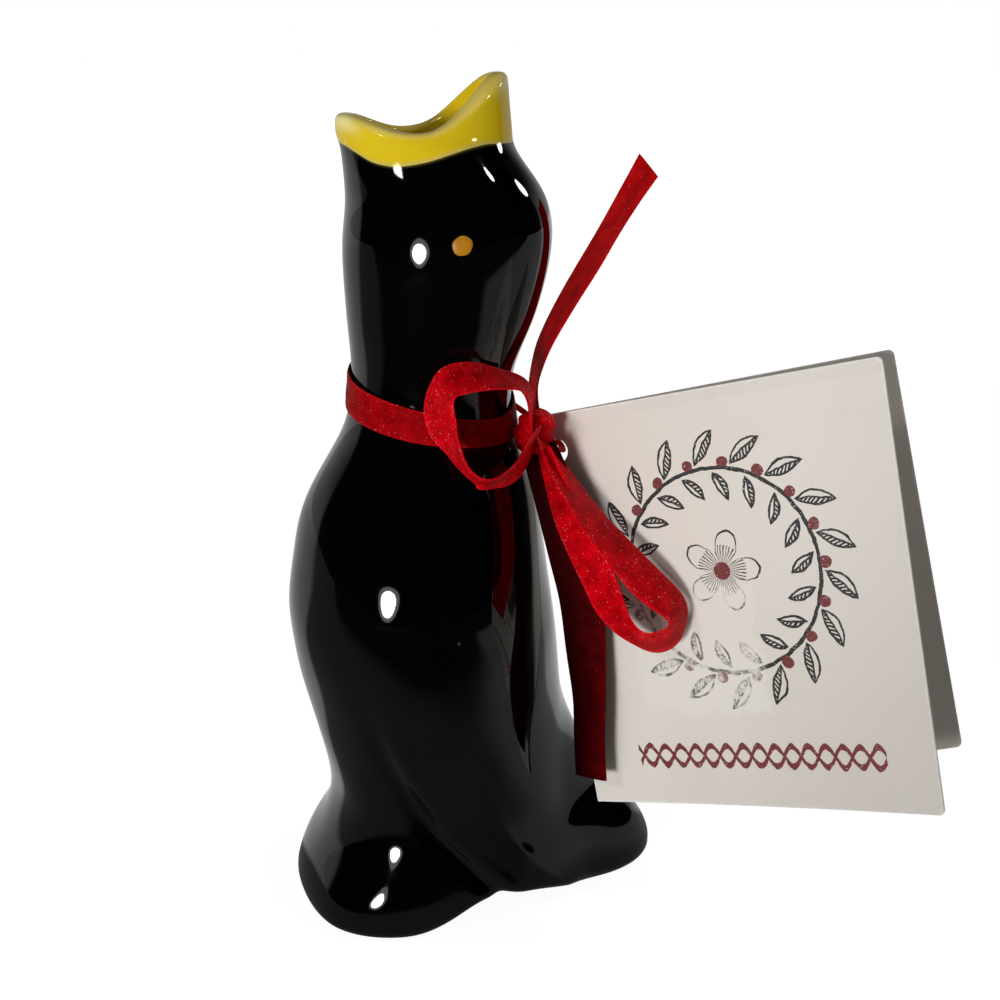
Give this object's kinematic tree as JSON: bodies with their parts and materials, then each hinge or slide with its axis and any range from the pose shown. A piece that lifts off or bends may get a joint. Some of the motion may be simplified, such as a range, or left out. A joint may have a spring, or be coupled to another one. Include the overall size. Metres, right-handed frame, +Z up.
{
  "type": "pie bird",
  "caption": "Hollow black porcelain pie bird with an open yellow beak and arched foot that vents steam, tied at the neck with a red ribbon bow holding a folded card tag.",
  "frame": {"origin": "on the table, under the middle of the bird's foot", "axes": "+Z up, beak towards -X, tail towards +X, the bird's left side towards -Y"},
  "size_m": [0.0888, 0.0655, 0.1139],
  "materials": {
    "black_glaze": "high gloss black glaze on porcelain",
    "yellow_glaze": "glossy yellow glaze, thin and pale on the edges",
    "eye_enamel": "orange enamel dot",
    "ribbon": "red woven ribbon with fine glitter",
    "card": "uncoated off-white card"
  },
  "bodies": {
    "bird": {"bird_body": "black_glaze", "beak": "yellow_glaze", "eye_left": "eye_enamel", "eye_right": "eye_enamel"},
    "ribbon": {"neck_band": "ribbon", "bow_knot": "ribbon", "loop_left": "ribbon", "loop_right": "ribbon", "tail_up": "ribbon", "tail_down": "ribbon", "tag_strand": "ribbon"},
    "front_leaf": {"tag_front": "card"},
    "back_leaf": {"tag_back": "card"}
  },
  "joints": [
    {"name": "ribbon_turn", "type": "hinge", "parent": "bird", "child": "ribbon", "pos_m": [-0.0061, 0, 0.0724], "axis": [0, 0, 1], "range_deg": [-30, 30]},
    {"name": "tag_swing", "type": "hinge", "parent": "ribbon", "child": "front_leaf", "pos_m": [0.01048, -0.00469, 0.06528], "axis": [-0.6882, -0.7186, 0.1], "range_deg": [0, 18]},
    {"name": "tag_fold", "type": "hinge", "parent": "front_leaf", "child": "back_leaf", "pos_m": [0.0069, -0.0005, 0.06879], "axis": [-0.1461, 0.2722, 0.9511], "range_deg": [-26, 18]}
  ]
}
